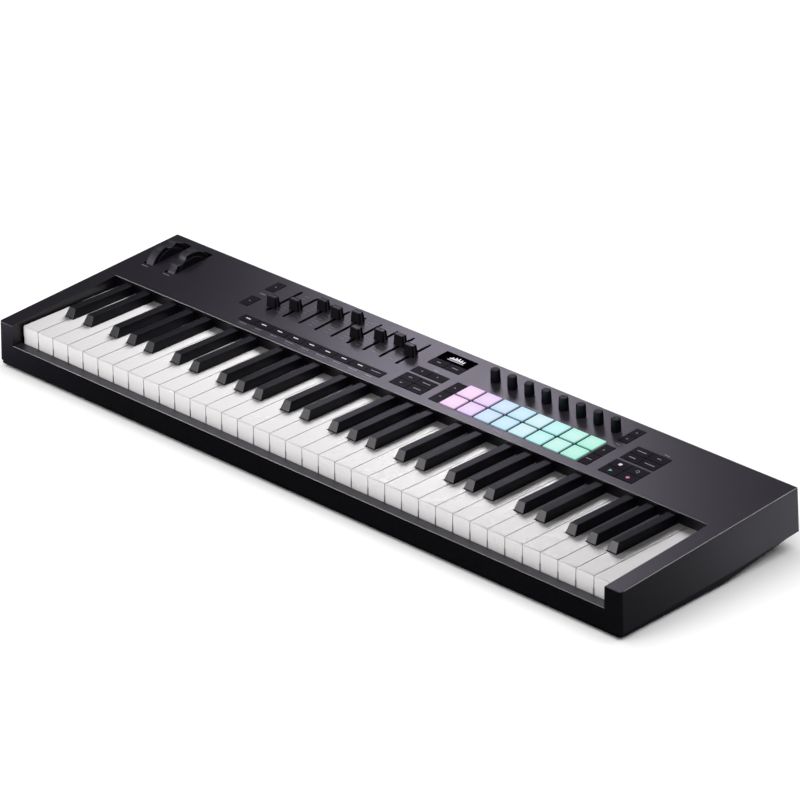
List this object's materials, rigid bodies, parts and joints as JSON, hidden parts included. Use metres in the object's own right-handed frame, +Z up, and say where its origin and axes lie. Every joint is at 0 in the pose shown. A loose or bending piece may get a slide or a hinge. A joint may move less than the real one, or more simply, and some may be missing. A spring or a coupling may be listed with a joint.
{
  "type": "synthesizer keyboard controller",
  "caption": "Wide slim keyboard with hinged piano keys, pitch and modulation wheels, sliding faders, turning encoders, lit square pads, push buttons and a small display.",
  "frame": {"origin": "middle of the footprint, at the bottom of the rubber feet", "axes": "+X along the keyboard to the player's right, +Y from the player to the rear, +Z up"},
  "size_m": [0.8986, 0.2666, 0.0816],
  "materials": {
    "case_plastic": "fine matt moulded plastic",
    "tray_plastic": "fine matt moulded plastic",
    "screw_steel": "black zinc",
    "foot_rubber": "matt",
    "frame_plastic": "matt",
    "rod_steel": "ground",
    "circuit_board": "solder mask",
    "contact_rubber": "matt",
    "felt": "wool felt",
    "white_key": "satin gloss",
    "black_key": "fine matt",
    "control_plastic": "fine matt",
    "button_rubber": "matt",
    "pad_lower": "translucent, lit",
    "pad_upper": "translucent, lit",
    "sensor_film": "film",
    "screen_window": "polished",
    "metal_case": "plated",
    "wheel_rubber": "matt, fine ribs",
    "socket_metal": "plated",
    "socket_plastic": "matt",
    "flat_cable": "film"
  },
  "bodies": {
    "case": {"top_case": "case_plastic", "bottom_case": "tray_plastic", "case_screws": "screw_steel", "rubber_feet": "foot_rubber", "keybed_chassis": "frame_plastic", "key_pivot_rod": "rod_steel", "key_contact_board": "circuit_board", "key_contact_rubbers": "contact_rubber", "key_felts": "felt", "control_board": "circuit_board", "pad_sensor_sheet": "sensor_film", "fader_bodies": "metal_case", "encoder_bodies": "metal_case", "display_window": "screen_window", "display_module": "metal_case", "wheel_bracket": "frame_plastic", "rear_socket_board": "circuit_board", "usb_socket": "socket_metal", "midi_socket": "socket_plastic", "pedal_jack": "socket_metal", "flat_cables": "flat_cable"},
    "white_keys_c": {"white_keys_c": "white_key"},
    "white_keys_d": {"white_keys_d": "white_key"},
    "white_keys_e": {"white_keys_e": "white_key"},
    "white_keys_f": {"white_keys_f": "white_key"},
    "white_keys_g": {"white_keys_g": "white_key"},
    "white_keys_a": {"white_keys_a": "white_key"},
    "white_keys_b": {"white_keys_b": "white_key"},
    "black_keys_c_sharp": {"black_keys_c_sharp": "black_key"},
    "black_keys_d_sharp": {"black_keys_d_sharp": "black_key"},
    "black_keys_f_sharp": {"black_keys_f_sharp": "black_key"},
    "black_keys_g_sharp": {"black_keys_g_sharp": "black_key"},
    "black_keys_a_sharp": {"black_keys_a_sharp": "black_key"},
    "fader_cap_1": {"fader_cap_1": "control_plastic"},
    "fader_cap_2": {"fader_cap_2": "control_plastic"},
    "fader_cap_3": {"fader_cap_3": "control_plastic"},
    "fader_cap_4": {"fader_cap_4": "control_plastic"},
    "fader_cap_5": {"fader_cap_5": "control_plastic"},
    "fader_cap_6": {"fader_cap_6": "control_plastic"},
    "fader_cap_7": {"fader_cap_7": "control_plastic"},
    "fader_cap_8": {"fader_cap_8": "control_plastic"},
    "fader_cap_9": {"fader_cap_9": "control_plastic"},
    "encoder_knob_1": {"encoder_knob_1": "control_plastic"},
    "encoder_knob_2": {"encoder_knob_2": "control_plastic"},
    "encoder_knob_3": {"encoder_knob_3": "control_plastic"},
    "encoder_knob_4": {"encoder_knob_4": "control_plastic"},
    "encoder_knob_5": {"encoder_knob_5": "control_plastic"},
    "encoder_knob_6": {"encoder_knob_6": "control_plastic"},
    "encoder_knob_7": {"encoder_knob_7": "control_plastic"},
    "encoder_knob_8": {"encoder_knob_8": "control_plastic"},
    "pads_lower": {"pads_lower": "pad_lower"},
    "pads_upper": {"pads_upper": "pad_upper"},
    "octave_buttons": {"octave_buttons": "button_rubber"},
    "fader_buttons": {"fader_buttons": "button_rubber"},
    "centre_buttons": {"centre_buttons": "button_rubber"},
    "pad_side_buttons": {"pad_side_buttons": "button_rubber"},
    "encoder_bank_buttons": {"encoder_bank_buttons": "button_rubber"},
    "transport_buttons": {"transport_buttons": "button_rubber"},
    "pitch_wheel": {"pitch_wheel": "wheel_rubber"},
    "mod_wheel": {"mod_wheel": "wheel_rubber"}
  },
  "joints": [
    {"name": "press_white_keys_c", "type": "hinge", "parent": "case", "child": "white_keys_c", "pos_m": [0, 0.04765, 0.042], "axis": [1, 0, 0], "range_deg": [0, 3.4], "stiffness_Nm_per_rad": 2, "springref_deg": -11.46},
    {"name": "press_white_keys_d", "type": "hinge", "parent": "case", "child": "white_keys_d", "pos_m": [0, 0.04765, 0.042], "axis": [1, 0, 0], "range_deg": [0, 3.4], "stiffness_Nm_per_rad": 2, "springref_deg": -11.46},
    {"name": "press_white_keys_e", "type": "hinge", "parent": "case", "child": "white_keys_e", "pos_m": [0, 0.04765, 0.042], "axis": [1, 0, 0], "range_deg": [0, 3.4], "stiffness_Nm_per_rad": 2, "springref_deg": -11.46},
    {"name": "press_white_keys_f", "type": "hinge", "parent": "case", "child": "white_keys_f", "pos_m": [0, 0.04765, 0.042], "axis": [1, 0, 0], "range_deg": [0, 3.4], "stiffness_Nm_per_rad": 2, "springref_deg": -11.46},
    {"name": "press_white_keys_g", "type": "hinge", "parent": "case", "child": "white_keys_g", "pos_m": [0, 0.04765, 0.042], "axis": [1, 0, 0], "range_deg": [0, 3.4], "stiffness_Nm_per_rad": 2, "springref_deg": -11.46},
    {"name": "press_white_keys_a", "type": "hinge", "parent": "case", "child": "white_keys_a", "pos_m": [0, 0.04765, 0.042], "axis": [1, 0, 0], "range_deg": [0, 3.4], "stiffness_Nm_per_rad": 2, "springref_deg": -11.46},
    {"name": "press_white_keys_b", "type": "hinge", "parent": "case", "child": "white_keys_b", "pos_m": [0, 0.04765, 0.042], "axis": [1, 0, 0], "range_deg": [0, 3.4], "stiffness_Nm_per_rad": 2, "springref_deg": -11.46},
    {"name": "press_black_keys_c_sharp", "type": "hinge", "parent": "case", "child": "black_keys_c_sharp", "pos_m": [0, 0.04765, 0.042], "axis": [1, 0, 0], "range_deg": [0, 3.4], "stiffness_Nm_per_rad": 2, "springref_deg": -11.46},
    {"name": "press_black_keys_d_sharp", "type": "hinge", "parent": "case", "child": "black_keys_d_sharp", "pos_m": [0, 0.04765, 0.042], "axis": [1, 0, 0], "range_deg": [0, 3.4], "stiffness_Nm_per_rad": 2, "springref_deg": -11.46},
    {"name": "press_black_keys_f_sharp", "type": "hinge", "parent": "case", "child": "black_keys_f_sharp", "pos_m": [0, 0.04765, 0.042], "axis": [1, 0, 0], "range_deg": [0, 3.4], "stiffness_Nm_per_rad": 2, "springref_deg": -11.46},
    {"name": "press_black_keys_g_sharp", "type": "hinge", "parent": "case", "child": "black_keys_g_sharp", "pos_m": [0, 0.04765, 0.042], "axis": [1, 0, 0], "range_deg": [0, 3.4], "stiffness_Nm_per_rad": 2, "springref_deg": -11.46},
    {"name": "press_black_keys_a_sharp", "type": "hinge", "parent": "case", "child": "black_keys_a_sharp", "pos_m": [0, 0.04765, 0.042], "axis": [1, 0, 0], "range_deg": [0, 3.4], "stiffness_Nm_per_rad": 2, "springref_deg": -11.46},
    {"name": "slide_fader_cap_1", "type": "slide", "parent": "case", "child": "fader_cap_1", "axis": [0, 0.9984, 0.0558], "range_m": [-0.00691, 0.04096]},
    {"name": "slide_fader_cap_2", "type": "slide", "parent": "case", "child": "fader_cap_2", "axis": [0, 0.9984, 0.0558], "range_m": [-0.01703, 0.03085]},
    {"name": "slide_fader_cap_3", "type": "slide", "parent": "case", "child": "fader_cap_3", "axis": [0, 0.9984, 0.0558], "range_m": [-0.03525, 0.01262]},
    {"name": "slide_fader_cap_4", "type": "slide", "parent": "case", "child": "fader_cap_4", "axis": [0, 0.9984, 0.0558], "range_m": [-0.03175, 0.01613]},
    {"name": "slide_fader_cap_5", "type": "slide", "parent": "case", "child": "fader_cap_5", "axis": [0, 0.9984, 0.0558], "range_m": [-0.03856, 0.00931]},
    {"name": "slide_fader_cap_6", "type": "slide", "parent": "case", "child": "fader_cap_6", "axis": [0, 0.9984, 0.0558], "range_m": [-0.01232, 0.03556]},
    {"name": "slide_fader_cap_7", "type": "slide", "parent": "case", "child": "fader_cap_7", "axis": [0, 0.9984, 0.0558], "range_m": [-0.02444, 0.02344]},
    {"name": "slide_fader_cap_8", "type": "slide", "parent": "case", "child": "fader_cap_8", "axis": [0, 0.9984, 0.0558], "range_m": [-0.02975, 0.01813]},
    {"name": "slide_fader_cap_9", "type": "slide", "parent": "case", "child": "fader_cap_9", "axis": [0, 0.9984, 0.0558], "range_m": [-0.02033, 0.02754]},
    {"name": "turn_encoder_knob_1", "type": "hinge", "parent": "case", "child": "encoder_knob_1", "pos_m": [0.0627, 0.10265, 0.06644], "axis": [0, -0.0558, 0.9984], "continuous": true},
    {"name": "turn_encoder_knob_2", "type": "hinge", "parent": "case", "child": "encoder_knob_2", "pos_m": [0.08669, 0.10265, 0.06644], "axis": [0, -0.0558, 0.9984], "continuous": true},
    {"name": "turn_encoder_knob_3", "type": "hinge", "parent": "case", "child": "encoder_knob_3", "pos_m": [0.11068, 0.10265, 0.06644], "axis": [0, -0.0558, 0.9984], "continuous": true},
    {"name": "turn_encoder_knob_4", "type": "hinge", "parent": "case", "child": "encoder_knob_4", "pos_m": [0.13467, 0.10265, 0.06644], "axis": [0, -0.0558, 0.9984], "continuous": true},
    {"name": "turn_encoder_knob_5", "type": "hinge", "parent": "case", "child": "encoder_knob_5", "pos_m": [0.15866, 0.10265, 0.06644], "axis": [0, -0.0558, 0.9984], "continuous": true},
    {"name": "turn_encoder_knob_6", "type": "hinge", "parent": "case", "child": "encoder_knob_6", "pos_m": [0.18265, 0.10265, 0.06644], "axis": [0, -0.0558, 0.9984], "continuous": true},
    {"name": "turn_encoder_knob_7", "type": "hinge", "parent": "case", "child": "encoder_knob_7", "pos_m": [0.20664, 0.10265, 0.06644], "axis": [0, -0.0558, 0.9984], "continuous": true},
    {"name": "turn_encoder_knob_8", "type": "hinge", "parent": "case", "child": "encoder_knob_8", "pos_m": [0.23063, 0.10265, 0.06644], "axis": [0, -0.0558, 0.9984], "continuous": true},
    {"name": "press_pads_lower", "type": "slide", "parent": "case", "child": "pads_lower", "axis": [0, 0.0558, -0.9984], "range_m": [0, 0.001], "stiffness_N_per_m": 2000, "springref_m": -0.0008},
    {"name": "press_pads_upper", "type": "slide", "parent": "case", "child": "pads_upper", "axis": [0, 0.0558, -0.9984], "range_m": [0, 0.001], "stiffness_N_per_m": 2000, "springref_m": -0.0008},
    {"name": "press_octave_buttons", "type": "slide", "parent": "case", "child": "octave_buttons", "axis": [0, 0.0558, -0.9984], "range_m": [0, 0.0008], "stiffness_N_per_m": 2000, "springref_m": -0.0006},
    {"name": "press_fader_buttons", "type": "slide", "parent": "case", "child": "fader_buttons", "axis": [0, 0.0558, -0.9984], "range_m": [0, 0.0008], "stiffness_N_per_m": 2000, "springref_m": -0.0006},
    {"name": "press_centre_buttons", "type": "slide", "parent": "case", "child": "centre_buttons", "axis": [0, 0.0558, -0.9984], "range_m": [0, 0.0008], "stiffness_N_per_m": 2000, "springref_m": -0.0006},
    {"name": "press_pad_side_buttons", "type": "slide", "parent": "case", "child": "pad_side_buttons", "axis": [0, 0.0558, -0.9984], "range_m": [0, 0.0008], "stiffness_N_per_m": 2000, "springref_m": -0.0006},
    {"name": "press_encoder_bank_buttons", "type": "slide", "parent": "case", "child": "encoder_bank_buttons", "axis": [0, 0.0558, -0.9984], "range_m": [0, 0.0008], "stiffness_N_per_m": 2000, "springref_m": -0.0006},
    {"name": "press_transport_buttons", "type": "slide", "parent": "case", "child": "transport_buttons", "axis": [0, 0.0558, -0.9984], "range_m": [0, 0.0008], "stiffness_N_per_m": 2000, "springref_m": -0.0006},
    {"name": "turn_pitch_wheel", "type": "hinge", "parent": "case", "child": "pitch_wheel", "pos_m": [-0.4195, 0.08965, 0.0492], "axis": [1, 0, 0], "range_deg": [-30, 30], "stiffness_Nm_per_rad": 0.05},
    {"name": "turn_mod_wheel", "type": "hinge", "parent": "case", "child": "mod_wheel", "pos_m": [-0.38545, 0.08965, 0.0492], "axis": [-1, 0, 0], "range_deg": [0, 60]}
  ]
}
